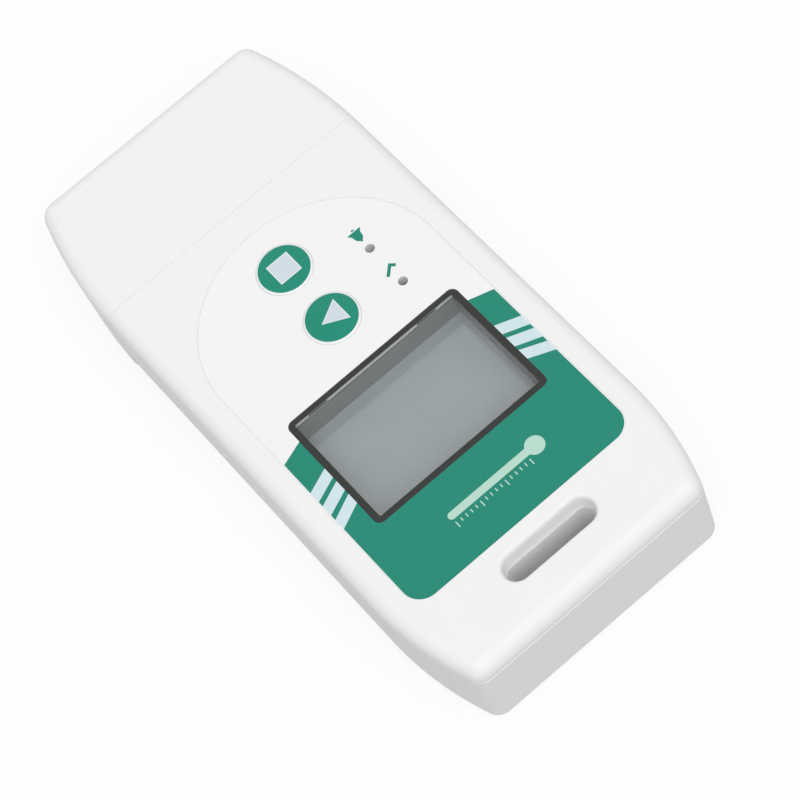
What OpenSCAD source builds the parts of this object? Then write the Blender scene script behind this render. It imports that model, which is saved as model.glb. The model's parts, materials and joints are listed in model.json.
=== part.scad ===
// Temperature data logger: a slim white case with a display and two push buttons behind a
// printed film, a lanyard slot at one end and a USB plug under a pull-off cap at the other.
// Millimetres. The back face is at Z = 0, +Z comes out of the front, +Y is the slot end.

/* [Case] */
// Overall length with the cap fitted
case_l = 95.6; // [92:0.2:110]
// Overall width
case_w = 42.8; // [42:0.2:50]
// Thickness from the back to the front face
case_h = 13.6; // [13.2:0.1:16]
// Side wall of the two shells at the back
wall = 1.6; // [1.2:0.1:2]
// Floor of the rear housing
floor_t = 1.6; // [1.2:0.1:2]
// Front plate of the front cover
plate_t = 1.8; // [1.6:0.1:2.2]
// Drop from the front face to the parting line
parting_drop = 2.5; // [2.5:0.1:3.4]
// Corner radius seen from the front
corner_r = 2.3; // [2:0.1:4]
// Rounding of the front edge
edge_r = 2.1; // [1:0.1:2.4]
// Rounding of the back edge
back_r = 0.6; // [0.5:0.1:1.4]
// How far the side wall draws in between the parting line and the back
draft_in = 0.15; // [0.1:0.05:0.5]
// How far the front cover stops short of the rear housing at the slot end
cover_setback = 0.2; // [0:0.05:0.3]

/* [Outline] */
// Radius of the sides where they draw in to the slot end
slot_side_r = 31; // [28:1:60]
// Length of that stretch
slot_side_l = 14.2; // [10:0.2:16]
// Radius of the sides where they draw in to the cap end
cap_side_r = 71; // [65:1:120]
// Length of that stretch
cap_side_l = 21.6; // [20:0.2:25]

/* [Cap and neck] */
// Length of the cap
cap_l = 21; // [20:0.2:23]
// Side and end wall of the cap
cap_wall = 1.5; // [1.2:0.1:1.8]
// Front and back wall of the cap
cap_skin = 1.4; // [1.2:0.1:1.6]
// Gap between the neck and the inside of the cap
cap_fit = 0.3; // [0.25:0.05:0.4]
// Length of the neck that the cap slides over
neck_l = 4; // [3:0.2:5]
// Wall of the neck
neck_wall = 1.4; // [1.2:0.1:1.6]

/* [Lanyard slot] */
// Length of the slot through the front cover
slot_l = 14; // [12:0.5:16]
// Width of the slot through the front cover
slot_w = 3.6; // [3.2:0.1:4]
// From the slot's centre line to the end of the case
slot_from_end = 8.15; // [7.5:0.05:9]
// Step between the slot in the front cover and in the rear housing
slot_step = 0.25; // [0.1:0.05:0.4]
// Wall of the tube round the slot
slot_wall = 1.2; // [1:0.1:1.5]

/* [Printed film] */
// From the side of the case to the film
film_side_gap = 3.8; // [3:0.1:5]
// From the end of the case to the film's straight edge
film_from_end = 12.25; // [12:0.05:13]
// From the film's rounded end to the seam of the cap
film_end_gap = 4.65; // [4:0.05:6]
// Height of the film's rounded end
film_arch_h = 16.6; // [14:0.2:17]
// Corner radius of the film
film_corner_r = 3; // [2:0.1:4]
// Thickness of the film
film_t = 0.25; // [0.15:0.05:0.25]
// Depth of the recess that it lies in
film_recess = 0.3; // [0.3:0.05:0.4]

/* [Display] */
// From the side of the film to the window pane
pane_side_gap = 3.6; // [3:0.1:4.5]
// From the film's straight edge to the pane
title_l = 12.3; // [11:0.1:13]
// From the pane to the middle of the start button
start_gap = 7.91; // [7.8:0.01:9]
// Corner radius of the pane
pane_r = 1; // [0.6:0.1:1.4]
// Thickness of the pane
pane_t = 0.8; // [0.6:0.1:1]
// Thickness of the adhesive frame under the pane
tape_t = 0.2; // [0.1:0.05:0.3]
// Width of the adhesive frame
tape_w = 0.9; // [0.8:0.05:1]
// How far the display glass reaches past the pane on each side
glass_edge = 1.5; // [1.3:0.05:1.8]
// Thickness of each of its two sheets
glass_t = 0.7; // [0.5:0.1:0.8]
// Thickness of a polarising film
polariser_t = 0.15; // [0.1:0.05:0.2]
// Share of the free height that lies between the circuit board and the display
display_gap_share = 0.44; // [0.3:0.02:0.5]

/* [Buttons and lamps] */
// Radius of a button
button_r = 3.9; // [3.4:0.1:4.2]
// How far a button stands above the film
button_rise = 0.4; // [0.3:0.05:0.6]
// How far a button travels
button_travel = 0.3; // [0.2:0.05:0.35]
// Distance between the two buttons
button_pitch = 10.38; // [10:0.02:11]
// From the stop button to the film's rounded end
stop_gap = 7.51; // [7:0.01:8.5]
// Radius of a lamp hole in the film
lamp_hole_r = 0.68; // [0.5:0.02:0.9]
// From the centre line to the lamps
lamp_x = 9.93; // [9:0.01:10.5]
// From the start button up to the first lamp, along the case
lamp_ahead = 2.53; // [2:0.01:3]
// Distance between the two lamps
lamp_pitch = 7.03; // [6.5:0.01:7.5]

/* [Circuit board] */
// Thickness of the board
board_t = 1; // [0.8:0.1:1.2]
// Gap between the board and the side walls
board_gap = 0.6; // [0.4:0.1:0.8]
// Size of a push switch's body
switch_w = 4.5; // [4:0.1:5]
// Height of a push switch with its stem
switch_h = 3.6; // [3.2:0.1:3.7]

/* [Battery] */
// Diameter of the coin cell
cell_d = 20; // [18:0.5:22]
// Thickness of the coin cell
cell_t = 3.2; // [2.5:0.1:3.2]
// Thickness of the sheet in the cell's clip
clip_t = 0.3; // [0.2:0.05:0.35]
// Width of the clip
clip_w = 6; // [5:0.5:8]

/* [USB plug] */
// Width of the plug
plug_w = 12; // [11.8:0.1:12.2]
// Height of the plug
plug_h = 4.5; // [4.3:0.1:4.6]
// Length of the plug
plug_l = 18.8; // [18:0.1:19.4]
// Thickness of its sheet
plug_t = 0.3; // [0.25:0.05:0.35]
// Gap between the plug's tip and the end wall of the cap
plug_tip_gap = 2.5; // [1.5:0.1:3.5]

/* [Screws] */
// Radius of a screw's thread
screw_r = 0.95; // [0.8:0.05:1.05]
// Radius of a screw's head
screw_head_r = 1.9; // [1.7:0.1:2]
// Height of a screw's head
screw_head_h = 1.3; // [1.1:0.1:1.5]
// From the side of the case to the screws at the slot end
screw_side_gap = 6.9; // [6.4:0.1:7.9]

/* [Hidden] */

// Colours
shell_white = "#f0f0ee";
print_green = "#24917a";
frame_black = "#3a3a3c";
smoke_grey = "#55585a";
pcb_green = "#1f6b46";
ink_black = "#26262a";
steel = "#c4c7ca";
gold = "#d9b45a";

// Counts of segments
corner_n = 5;
side_n = 7;
edge_n = 5;
ring_fn = 48;

// Small gaps shared by the pieces
over = 1;
gap = 0.1;
loose = 0.3;
min_r = 0.05;

// Levels, from the back to the front
part_z = case_h - parting_drop;
plate_z = case_h - plate_t;
film_z = case_h - film_recess;
film_top = film_z + film_t;
pane_z = film_top - pane_t;
tape_z = pane_z - tape_t;
clip_z = floor_t + loose + gap;
cell_z = clip_z + clip_t;
contact_t = 0.1;
contact_z = cell_z + cell_t;
board_z = contact_z + contact_t;
board_top = board_z + board_t;
holder_rim = 0.8;
display_h = 2 * polariser_t + 2 * glass_t;
display_gap = (plate_z - holder_rim - display_h - board_top) * display_gap_share;
rear_pol_z = board_top + display_gap;
glass_z = rear_pol_z + polariser_t;
front_glass_z = glass_z + glass_t;
front_pol_z = front_glass_z + glass_t;
display_z = front_pol_z + polariser_t;
plug_z = board_z + board_t / 2;

// Places along the case
half_l = case_l / 2;
half_w = case_w / 2;
seam_y = cap_l - half_l;
slot_y = half_l - slot_from_end;
film_y1 = half_l - film_from_end;
film_y0 = seam_y + film_end_gap;
stop_y = film_y0 + stop_gap;
start_y = stop_y + button_pitch;
ok_y = start_y + lamp_ahead;
alarm_y = ok_y - lamp_pitch;

// Film, pane and display glass
film_w = 2 * (half_w - film_side_gap);
pane_w = film_w - 2 * pane_side_gap;
pane_l = film_y1 - title_l - start_gap - start_y;
display_y = start_y + start_gap + pane_l / 2;
glass_w = pane_w + 2 * glass_edge;
glass_l = pane_l + 2 * glass_edge;

// Insets from the outline at the parting line
front_r = min(edge_r, corner_r - 2 * min_r);
rebate_w = 0.9;
rebate_h = 1.2;
inner_d = wall + draft_in;
rebate_d = inner_d - rebate_w;
lip_d = rebate_d + gap + gap / 2;
lip_y = seam_y + wall + rebate_h;

// Neck and the inside of the cap
neck_y = seam_y - neck_l;
neck_z0 = cap_skin + cap_fit;
neck_z1 = case_h - cap_skin - cap_fit;
neck_r = 1;
neck_end_t = wall;
ridge_share = 0.5;
ridge_place_share = 0.45;
neck_hw = side_x(neck_y) - cap_wall - cap_fit;
ridge_t = cap_fit - gap;
ridge_w = 1.2;
ridge_l = (neck_z1 - neck_z0) * ridge_share;
cap_end_y = cap_wall - half_l;
rib_w = 1.2;
rib_x = plug_w / 3;

// USB plug, carried by the end of the board
plug_tip_y = cap_end_y + plug_tip_gap;
board_y0 = plug_tip_y + plug_l;
plug_room = 2 * gap;
tongue_t = 1.95;
tongue_back = 0.6;
block_l = 6;
contact_strip_t = 0.2;
contact_w = 1;
contact_tail = 2;
contact_in = 1;
contact_out = 3.5;
contact_x = [-contact_out, -contact_in, contact_in, contact_out];
contact_top = plug_z - plug_h / 2 + plug_t + tongue_t;
ear_l = 2.6;
ear_h = 1.4;
latch_w = 2.2;
latch_l = 2.5;
latch_x = 2.5;
latch_back = 5.2;

// Screws and the bosses that they join
boss_wall = 1.2;
pillar_wall = 1.4;
boss_r = screw_head_r + boss_wall;
pillar_r = screw_r + pillar_wall;
head_sunk = 0.4;
head_z = head_sunk + screw_head_h;
boss_rise = 0.6;
bite_l = 2.6;
boss_z = board_top + boss_rise;
screw_top = boss_z + bite_l;
driver_w = 0.45;
driver_l = 1.3 * screw_head_r;
driver_depth_share = 0.6;
boss_gap = 1.2;
screw_y2 = seam_y + wall + boss_r + boss_gap;
screw_x = half_w - screw_side_gap;
screw_x2 = half_w - inner_d - boss_r - loose;
screw_places = [[screw_x, slot_y], [-screw_x, slot_y], [screw_x2, screw_y2], [-screw_x2, screw_y2]];

// Circuit board and what stands on it
board_hw = half_w - inner_d - board_gap;
board_end_gap = 2.6;
board_y1 = slot_y - slot_w / 2 - slot_wall - board_end_gap;
notch_x = screw_x2 - boss_r - 2 * gap;
notch_y = screw_y2 + boss_r + 2 * gap;
post_w = 1.6;
post_l = 3;
post_x = board_hw - post_w;
post_in = 6.6;
post_gap = 6.5;
clamp_gap = 2.5;
post_y = [board_y1 - post_in, stop_y + post_gap];
clamp_y = stop_y + clamp_gap;
stem_r = 1.2;
switch_body_share = 0.56;
switch_body_h = switch_h * switch_body_share;
switch_top = board_top + switch_h;

// Buttons
hole_r = button_r + gap;
flange_w = 0.8;
flange_r = button_r + flange_w;
flange_t = 0.5;
flange_z = plate_z - gap - flange_t;
button_stem_r = 1.5;
stem_z = switch_top + button_travel + gap / 2;

// Parts on the board
lamp_w = 2;
lamp_base_h = lamp_w * 0.3;
lamp_lens_r = lamp_w * 0.22;
lamp_lens_h = lamp_w * 0.45;
chip_h = 1.1;
lead_w = 0.35;
lead_l = 0.9;
mcu_w = 6.6;
chip_mid_x = (switch_w / 2 + board_hw) / 2;
mcu_shift = [-1.1, 1];
mcu_x = chip_mid_x + mcu_shift.x;
mcu_y = (start_y + stop_y) / 2 + mcu_shift.y;
memory_w = 5;
memory_l = 4;
memory_shift = [-2.4, -1];
memory_x = -chip_mid_x - memory_shift.x;
memory_y = stop_y + memory_shift.y;
crystal_r = 0.9;
crystal_l = 6;
crystal_gap = [2.2, 0.8];
crystal_x = mcu_x + mcu_w / 2 + crystal_gap.x;
crystal_y = clamp_y + post_l / 2 + crystal_gap.y + crystal_l / 2;
sensor_w = 2.9;
sensor_h = 1.2;
sensor_in = [6, 3.4];
sensor_x = board_hw - sensor_in.x;
sensor_y = board_y1 - sensor_in.y;
part_w = 1.6;

// Battery
cell_y = display_y;
cell_lip = 0.5;
clip_foot = 2;
battery_contact_r = 4;

// Display holder
glass_step = 2;
opening_w = pane_w - 2 * tape_w;
opening_l = pane_l - 2 * tape_w;
collar_t = 0.4;
collar_z = tape_z - gap / 2;
holder_wall = 1.2;
holder_w = glass_w + 2 * gap + 2 * holder_wall;
holder_l = glass_l + 2 * gap + 2 * holder_wall;
holder_top = display_z + holder_rim;
pin_r = 0.8;
pin_reach = 0.7;
pin_x = holder_w / 2 - holder_wall;
pin_y = holder_l / 2 - holder_wall;
pin_z = board_z - pin_reach;
clip_notch_w = 3.2;
clip_notch_in = 4.1;
clip_notch_x = opening_w / 2 - clip_notch_in;
clip_notch_h = 0.8;

// Points on the outline
function arc(c, r, a0, a1, n, skip = 0) =
    [for (i = [skip:n]) c + r * [cos(a0 + (a1 - a0) * i / n), sin(a0 + (a1 - a0) * i / n)]];

// Centre of the side arc and of the corner at one end, where dir is 1 at the slot end
function side_c(r, len, dir, s) = [half_w - r, dir * (half_l - s - len)];
function corner_c(r, len, dir, s) =
    let (c = side_c(r, len, dir, s), y = dir * (half_l - s - corner_r))
    [c.x + sqrt(pow(r - corner_r, 2) - pow(y - c.y, 2)), y];
function corner_a(r, len, dir, s) =
    let (v = corner_c(r, len, dir, s) - side_c(r, len, dir, s)) atan2(v.y, v.x);

// Half width of the case on the cap's side arc
function side_x(y) =
    half_w - cap_side_r + sqrt(pow(cap_side_r, 2) - pow(y + half_l - cap_side_l, 2));

// The right half runs from the cap end to the slot end, and the left half mirrors it
function right_half(d, s) =
    let (r = max(corner_r - d, min_r),
        a = corner_a(cap_side_r, cap_side_l, -1, 0),
        b = corner_a(slot_side_r, slot_side_l, 1, s))
    concat(
        arc(corner_c(cap_side_r, cap_side_l, -1, 0), r, -90, a, corner_n),
        arc(side_c(cap_side_r, cap_side_l, -1, 0), cap_side_r - d, a, 0, side_n, 1),
        arc(side_c(slot_side_r, slot_side_l, 1, s), slot_side_r - d, 0, b, side_n),
        arc(corner_c(slot_side_r, slot_side_l, 1, s), r, b, 90, corner_n, 1));
function outline(d, s = 0) =
    let (p = right_half(d, s)) concat(p, [for (i = [len(p) - 1:-1:0]) [-p[i].x, p[i].y]]);

// Levels of a rounded edge, each with its height and its inset
function front_edge(z, r) =
    [for (i = [0:edge_n]) [z - r + r * sin(90 * i / edge_n), r - r * cos(90 * i / edge_n)]];
function back_edge(r, d) =
    [for (i = [edge_n:-1:0]) [r - r * sin(90 * i / edge_n), d + r - r * cos(90 * i / edge_n)]];

// Rounded rectangle and slot outlines
function rounded(w, l, r, n = 4) = concat(
    arc([w / 2 - r, l / 2 - r], r, 0, 90, n), arc([r - w / 2, l / 2 - r], r, 90, 180, n),
    arc([r - w / 2, r - l / 2], r, 180, 270, n), arc([w / 2 - r, r - l / 2], r, 270, 360, n));
function slot_outline(l, w, n = 8) = concat(
    arc([(l - w) / 2, 0], w / 2, -90, 90, n), arc([(w - l) / 2, 0], w / 2, 90, 270, n));

// The film: two round corners at the slot end and half an ellipse at the cap end
function film_outline(g) =
    let (hw = film_w / 2, top = film_y1, base = film_y0 + film_arch_h, n = 24)
    concat(
        [for (i = [0:n]) [-(hw + g) * cos(180 * i / n), base - (film_arch_h + g) * sin(180 * i / n)]],
        arc([hw - film_corner_r, top - film_corner_r], film_corner_r + g, 0, 90, 6),
        arc([film_corner_r - hw, top - film_corner_r], film_corner_r + g, 90, 180, 6));

// Solid between stacked outlines
module loft(levels, s = 0) {
    n = len(outline(0, s));
    m = len(levels);
    points = [for (v = levels) for (p = outline(v[1], s)) [p.x, p.y, v[0]]];
    sides = [for (k = [0:m - 2]) for (i = [0:n - 1])
        [k * n + i, (k + 1) * n + i, (k + 1) * n + (i + 1) % n, k * n + (i + 1) % n]];
    polyhedron(points, concat([[for (i = [0:n - 1]) i]], sides,
        [[for (i = [n - 1:-1:0]) (m - 1) * n + i]]));
}

// Straight slab of the outline between two levels
module slab(z0, z1, d, s = 0) {
    translate([0, 0, z0]) linear_extrude(z1 - z0) polygon(outline(d, s));
}

// Everything between two places along the case
module y_band(y0, y1) {
    translate([-case_w, y0, -case_h]) cube([2 * case_w, y1 - y0, 3 * case_h]);
}

// Plate of an outline between two levels
module plate(points, z0, z1) {
    translate([0, 0, z0]) linear_extrude(z1 - z0) polygon(points);
}

// Upright block centred on a place
module block(w, l, z0, z1, x = 0, y = 0) {
    translate([x - w / 2, y - l / 2, z0]) cube([w, l, z1 - z0]);
}

module round_bar(r, z0, z1, x = 0, y = 0, fn = ring_fn) {
    translate([x, y, z0]) cylinder(r = r, h = z1 - z0, $fn = fn);
}

// Section drawn in X and Z, swept along Y
module along_y(y0, y1) {
    translate([0, y1, 0]) rotate([90, 0, 0]) linear_extrude(y1 - y0) children();
}

module at_screws() {
    for (p = screw_places) translate([p.x, p.y, 0]) children();
}

module neck_section() {
    translate([0, (neck_z0 + neck_z1) / 2]) polygon(rounded(2 * neck_hw, neck_z1 - neck_z0, neck_r));
}

module front_cover() {
    color(shell_white) difference() {
        union() {
            difference() {
                intersection() {
                    loft(concat([[part_z, 0]], front_edge(case_h, front_r)), cover_setback);
                    y_band(seam_y, case_l);
                }
                intersection() {
                    slab(part_z - over, plate_z, inner_d, cover_setback);
                    y_band(seam_y + wall, case_l);
                }
            }
            cover_lip();
            intersection() {
                along_y(neck_y, seam_y + wall) neck_section();
                block(2 * case_w, 3 * case_l, part_z, case_h);
            }
            plug_gate();
            plate(slot_tube(), part_z, plate_z);
            intersection() {
                at_screws() round_bar(pillar_r, boss_z, plate_z);
                slab(boss_z, plate_z, inner_d);
            }
            for (x = [-post_x, post_x]) block(post_w, post_l, board_top, plate_z, x, clamp_y);
        }
        plate(film_outline(gap), film_z, case_h + over);
        translate([0, display_y, 0]) {
            plate(rounded(pane_w + 2 * gap, pane_l + 2 * gap, pane_r + gap), tape_z, case_h + over);
            block(collar_w() + 2 * gap, collar_l() + 2 * gap, part_z, case_h);
        }
        translate([0, slot_y, 0]) plate(slot_outline(slot_l, slot_w), part_z - over, case_h + over);
        for (y = [start_y, stop_y]) round_bar(hole_r, part_z, case_h, 0, y);
        for (y = [ok_y, alarm_y]) round_bar(lamp_hole_r + gap, part_z, case_h, -lamp_x, y, 24);
        at_screws() round_bar(screw_r + gap / 2, boss_z - over, screw_top + gap, fn = 24);
    }
}

// Lip that locates the cover inside the rear housing
module cover_lip() {
    intersection() {
        difference() {
            slab(part_z - rebate_h + gap, plate_z, lip_d, cover_setback);
            slab(part_z - rebate_h - over, plate_z + over, inner_d, cover_setback);
        }
        y_band(lip_y, case_l);
    }
}

// Tab that closes the housing's slot above the USB plug
module plug_gate() {
    along_y(neck_y, neck_y + neck_end_t)
        translate([0, (plug_z + plug_h / 2 + plug_room + part_z) / 2])
            square([plug_w + 2 * plug_room, part_z - plug_z - plug_h / 2 - plug_room + gap],
                center = true);
}

function collar_w() = opening_w + 2 * collar_t;
function collar_l() = opening_l + 2 * collar_t;
function slot_tube() = [for (p = slot_outline(slot_l + 2 * slot_wall, slot_w + 2 * slot_wall))
    [p.x, p.y + slot_y]];

module rear_housing() {
    color(shell_white) difference() {
        union() {
            difference() {
                intersection() {
                    loft(concat(back_edge(back_r, draft_in), [[part_z, 0]]));
                    y_band(seam_y, case_l);
                }
                intersection() {
                    slab(floor_t, case_h, inner_d);
                    y_band(seam_y + wall, case_l);
                }
                intersection() {
                    slab(part_z - rebate_h, case_h, rebate_d);
                    y_band(lip_y - gap, case_l);
                }
            }
            intersection() {
                neck();
                block(2 * case_w, 3 * case_l, 0, part_z);
            }
            plate(slot_tube(), floor_t / 2, part_z);
            intersection() {
                at_screws() round_bar(boss_r, floor_t / 2, boss_z);
                slab(0, boss_z, inner_d - gap);
            }
            for (x = [-post_x, post_x], y = post_y) block(post_w, post_l, floor_t / 2, board_z, x, y);
        }
        along_y(neck_y + neck_end_t, seam_y + wall + over)
            translate([0, (neck_z0 + neck_wall + case_h) / 2])
                square([2 * (neck_hw - neck_wall), case_h - neck_z0 - neck_wall], center = true);
        along_y(neck_y - over, neck_y + neck_end_t + over)
            translate([0, (plug_z - plug_h / 2 - plug_room + case_h) / 2])
                square([plug_w + 2 * plug_room + 2 * gap, case_h - plug_z + plug_h / 2 + plug_room],
                    center = true);
        translate([0, slot_y, 0])
            plate(slot_outline(slot_l - 2 * slot_step, slot_w - 2 * slot_step), -over, case_h);
        at_screws() {
            round_bar(screw_head_r + gap, -over, head_z);
            round_bar(screw_r + 2 * gap, 0, case_h, fn = 24);
        }
    }
}

// Neck with the two low ridges that the cap grips
module neck() {
    along_y(neck_y, seam_y + wall) neck_section();
    for (m = [-1, 1])
        block(ridge_t * 2, ridge_w, (neck_z0 + neck_z1 - ridge_l) / 2, (neck_z0 + neck_z1 + ridge_l) / 2,
            m * neck_hw, neck_y + neck_l * ridge_place_share);
}

module usb_cap() {
    color(shell_white) union() {
        difference() {
            intersection() {
                loft(concat(back_edge(back_r, 0), front_edge(case_h, front_r)));
                y_band(-case_l, seam_y - min_r);
            }
            intersection() {
                slab(cap_skin, case_h - cap_skin, cap_wall);
                y_band(cap_end_y, case_l);
            }
        }
        cap_ribs(cap_skin - gap, plug_z - plug_h / 2 - loose);
        cap_ribs(plug_z + plug_h / 2 + loose, case_h - cap_skin + gap);
    }
}

// Pair of ribs that guide the plug, standing on the cap's end wall
module cap_ribs(z0, z1) {
    for (x = [-rib_x, rib_x])
        block(rib_w, neck_y - loose - cap_end_y + gap, z0, z1, x, (neck_y - loose + cap_end_y - gap) / 2);
}

module graphic_overlay() {
    color(print_green) difference() {
        plate(film_outline(0), film_z, film_top);
        translate([0, display_y, 0])
            plate(rounded(pane_w + 2 * gap, pane_l + 2 * gap, pane_r + gap), film_z - over, case_h);
        for (y = [start_y, stop_y]) round_bar(hole_r, film_z - over, case_h, 0, y);
        for (y = [ok_y, alarm_y]) round_bar(lamp_hole_r, film_z - over, case_h, -lamp_x, y, 24);
    }
}

module display_window() {
    color(smoke_grey, 0.4) translate([0, display_y, 0])
        plate(rounded(pane_w, pane_l, pane_r), pane_z, film_top);
}

module window_tape() {
    color(frame_black) translate([0, display_y, 0]) difference() {
        plate(rounded(pane_w, pane_l, pane_r), tape_z, pane_z);
        block(opening_w, opening_l, tape_z - over, case_h);
    }
}

module display_holder() {
    color(smoke_grey) translate([0, display_y, 0]) {
        difference() {
            union() {
                block(holder_w, holder_l, board_top, holder_top);
                block(collar_w(), collar_l(), holder_top - over, collar_z);
            }
            block(glass_w + 2 * gap, glass_l + 2 * gap, board_top - over, display_z);
            block(opening_w, opening_l, board_top, case_h);
            for (x = [-clip_notch_x, clip_notch_x])
                block(clip_notch_w, collar_l(), collar_z - clip_notch_h, case_h, x, -collar_l() / 2);
        }
        for (x = [-pin_x, pin_x], y = [-pin_y, pin_y])
            round_bar(pin_r, pin_z, board_top + gap, x, y, 24);
    }
}

module display_glass() {
    color("#9aa3a8") translate([0, display_y, 0]) {
        block(glass_w, glass_l, front_glass_z, front_pol_z);
        block(glass_w, glass_l - 2 * glass_step, glass_z, front_glass_z + min_r);
    }
}

module front_polariser() {
    color("#8f979b") translate([0, display_y, 0])
        block(glass_w - glass_step, glass_l - 2 * glass_step, front_pol_z, display_z);
}

module rear_polariser() {
    color("#7d8488") translate([0, display_y, 0])
        block(glass_w - glass_step, glass_l - 3 * glass_step, rear_pol_z, glass_z);
}

module contact_strips() {
    color(ink_black) translate([0, display_y, 0])
        for (m = [-1, 1])
            block(glass_w - glass_step, glass_step - 2 * gap, board_top, front_glass_z,
                0, m * (glass_l - glass_step) / 2);
}

// A domed button with the flange that keeps it in the cover and the stem that meets its switch
module push_button() {
    dome_n = 8;
    dome = [for (i = [0:dome_n]) let (t = i / dome_n)
        [button_r * (1 - t), film_top + button_rise * sqrt(1 - pow(1 - t, 4))]];
    rotate_extrude($fn = ring_fn) polygon(concat(
        [[0, stem_z], [button_stem_r, stem_z], [button_stem_r, flange_z], [flange_r, flange_z],
        [flange_r, flange_z + flange_t], [button_r, flange_z + flange_t]], dome));
}

module start_button() {
    color(print_green) translate([0, start_y, 0]) push_button();
}

module stop_button() {
    color(print_green) translate([0, stop_y, 0]) push_button();
}

module push_switch() {
    block(switch_w, switch_w, board_top, board_top + switch_body_h);
    round_bar(stem_r, board_top + switch_body_h - gap, switch_top, fn = 24);
}

module start_switch() {
    color(steel) translate([0, start_y, 0]) push_switch();
}

module stop_switch() {
    color(steel) translate([0, stop_y, 0]) push_switch();
}

// A lamp on the board under its hole: a flat base with a small round lens
module lamp() {
    block(lamp_w, lamp_w / 2, board_top, board_top + lamp_base_h);
    round_bar(lamp_lens_r, board_top + lamp_base_h / 2, board_top + lamp_lens_h, fn = 24);
}

module ok_lamp() {
    color("#9fd6a8") translate([-lamp_x, ok_y, 0]) lamp();
}

module alarm_lamp() {
    color("#d98a80") translate([-lamp_x, alarm_y, 0]) lamp();
}

module circuit_board() {
    color(pcb_green) difference() {
        block(2 * board_hw, board_y1 - board_y0, board_z, board_top, 0, (board_y0 + board_y1) / 2);
        for (m = [-1, 1])
            block(2 * (board_hw - notch_x) + over, 2 * (notch_y - board_y0), board_z - over, board_top + over,
                m * (board_hw + over / 2), board_y0);
        for (x = [-pin_x, pin_x], y = [-pin_y, pin_y])
            round_bar(pin_r + gap, board_z - over, board_top + over, x, display_y + y, 24);
    }
}

module microcontroller() {
    color(ink_black) {
        block(mcu_w, mcu_w, board_top + gap, board_top + chip_h, mcu_x, mcu_y);
        for (i = [0:7], a = [0:90:270])
            translate([mcu_x, mcu_y, 0]) rotate([0, 0, a])
                block(lead_w, lead_l, board_top, board_top + lead_l / 2,
                    (i - 3.5) * 2 * lead_w, mcu_w / 2);
    }
}

module memory_chip() {
    color(ink_black) {
        block(memory_w, memory_l, board_top + gap, board_top + chip_h, memory_x, memory_y);
        for (i = [0:3], m = [-1, 1])
            block(lead_w, lead_l, board_top, board_top + lead_l / 2,
                memory_x + (i - 1.5) * 3 * lead_w, memory_y + m * memory_l / 2);
    }
}

module timing_crystal() {
    color(steel) translate([crystal_x, crystal_y, board_top + crystal_r])
        rotate([90, 0, 0]) round_bar(crystal_r, -crystal_l / 2, crystal_l / 2, fn = 24);
}

module temperature_sensor() {
    color(ink_black) {
        block(sensor_w, sensor_w / 2, board_top + gap, board_top + sensor_h, sensor_x, sensor_y);
        for (i = [-1:1], m = [-1, 1])
            block(lead_w, lead_l, board_top, board_top + lead_l / 2,
                sensor_x + i * sensor_w / 3, sensor_y + m * sensor_w / 4);
    }
}

// Small capacitors and resistors in two rows
module chip_parts() {
    color("#b59c78") {
        for (i = [0:3])
            block(part_w, part_w / 2, board_top, board_top + part_w / 2,
                mcu_x + (i - 1.5) * 1.5 * part_w, mcu_y - mcu_w / 2 - 1.5 * part_w);
        for (i = [0:2])
            block(part_w, part_w / 2, board_top, board_top + part_w / 2,
                sensor_x - sensor_w - (i + 1) * 2 * part_w, sensor_y);
    }
}

module coin_cell() {
    r = cell_d / 2;
    color(steel) translate([0, cell_y, cell_z]) rotate_extrude($fn = ring_fn) polygon([
        [0, 0], [r - cell_lip / 2, 0], [r, cell_lip / 2], [r, cell_t - cell_lip],
        [r - cell_lip / 2, cell_t - cell_lip / 2], [r - 2 * cell_lip, cell_t - cell_lip / 2],
        [r - 2 * cell_lip, cell_t], [0, cell_t]]);
}

// Strap that holds the cell against the board
module battery_clip() {
    leg_x = cell_d / 2 + loose;
    color(steel) translate([0, cell_y, 0]) {
        union() {
            block(2 * (leg_x + clip_t), clip_w, clip_z, cell_z);
            for (m = [-1, 1]) {
                block(clip_t, clip_w, clip_z, board_z, m * (leg_x + clip_t / 2));
                block(clip_foot + clip_t, clip_w, board_z - clip_t, board_z,
                    m * (leg_x + (clip_t + clip_foot) / 2));
            }
        }
    }
}

module battery_contact() {
    color(gold) round_bar(battery_contact_r, contact_z, board_z, 0, cell_y);
}

module plug_section(inset, r) {
    translate([0, plug_z]) polygon(rounded(plug_w - 2 * inset, plug_h - 2 * inset, r));
}

// Plug shell with its latch windows and the two ears soldered to the board
module usb_shell() {
    color(steel) union() {
        difference() {
            along_y(plug_tip_y, board_y0) plug_section(0, plug_t + 2 * gap);
            along_y(plug_tip_y - over, board_y0 + over) plug_section(plug_t, 2 * gap);
            for (x = [-latch_x, latch_x])
                block(latch_w, latch_l, 0, case_h, x, plug_tip_y + latch_back + latch_l / 2);
        }
        for (m = [-1, 1])
            block(plug_t, ear_l + 2 * gap, board_top, board_top + ear_h,
                m * (plug_w - plug_t) / 2, board_y0 + ear_l / 2 - gap);
    }
}

module usb_insulator() {
    w = plug_w - 2 * plug_t - 4 * gap;
    bottom = plug_z - plug_h / 2 + plug_t;
    color("#e6e6e2") difference() {
        union() {
            along_y(plug_tip_y + tongue_back, board_y0)
                translate([0, (bottom + contact_top) / 2]) square([w, contact_top - bottom], center = true);
            along_y(board_y0 - block_l, board_y0)
                translate([0, plug_z]) square([w, plug_h - 2 * plug_t], center = true);
        }
        block(slit_w(), 2 * block_l, contact_top, contact_top + contact_strip_t, 0, board_y0);
        block(slit_w(), 6 * gap, contact_top, board_top + contact_strip_t + gap, 0, board_y0);
    }
}

function slit_w() = 2 * contact_out + contact_w + 2 * gap;

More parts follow.
